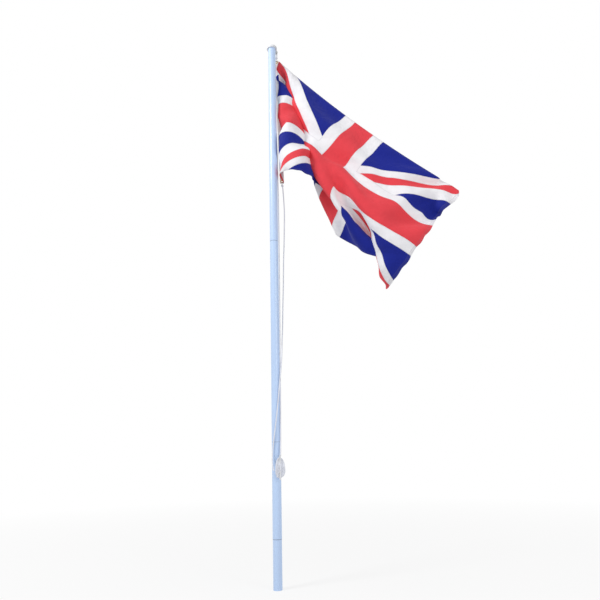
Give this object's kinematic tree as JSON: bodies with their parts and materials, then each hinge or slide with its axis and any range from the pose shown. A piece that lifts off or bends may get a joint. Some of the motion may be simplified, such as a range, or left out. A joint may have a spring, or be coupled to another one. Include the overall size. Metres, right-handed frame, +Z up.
{
  "type": "flagpole with flag",
  "caption": "Garden flagpole of joined white tubes with a mushroom cap, a halyard made fast to a cleat, and a flag flying from its top.",
  "frame": {"origin": "centre of the pole's flat bottom, at ground level", "axes": "+Z up the pole, +X the way that the flag flies, -Y the side that the cleat faces"},
  "size_m": [1.2238, 0.2813, 3.3635],
  "materials": {
    "pole_enamel": "white gloss enamel",
    "bare_tube": "mill finish",
    "white_plastic": "moulded white",
    "steel": "zinc plated",
    "nylon": "moulded",
    "rope": "braided white cord",
    "flag_fabric": "woven polyester, blue, white and red",
    "heading_tape": "white canvas tape",
    "brass": "stamped",
    "clip_steel": "plated wire"
  },
  "bodies": {
    "pole": {"ground_sleeve": "pole_enamel", "ground_ferrule": "bare_tube", "lower_tube": "pole_enamel", "lower_ferrule": "bare_tube", "middle_tube": "pole_enamel", "upper_ferrule": "bare_tube", "upper_tube": "pole_enamel", "pole_cap": "white_plastic", "pulley_bracket": "steel", "pulley_sheave": "nylon", "pulley_axle": "steel", "cleat": "white_plastic", "upper_cleat_screw": "steel", "lower_cleat_screw": "steel", "halyard_turns": "rope", "halyard_return_leg": "rope", "halyard_upper_leg": "rope", "halyard_lower_leg": "rope"},
    "flag": {"flag_cloth": "flag_fabric", "flag_heading": "heading_tape", "upper_grommet": "brass", "lower_grommet": "brass", "upper_clip": "clip_steel", "lower_clip": "clip_steel", "upper_knot": "rope", "lower_knot": "rope"}
  },
  "joints": [
    {"name": "flag_hoist", "type": "slide", "parent": "pole", "child": "flag", "axis": [0, 0, 1], "range_m": [-1.2, 0], "deforming": ["halyard_lower_leg"]}
  ]
}
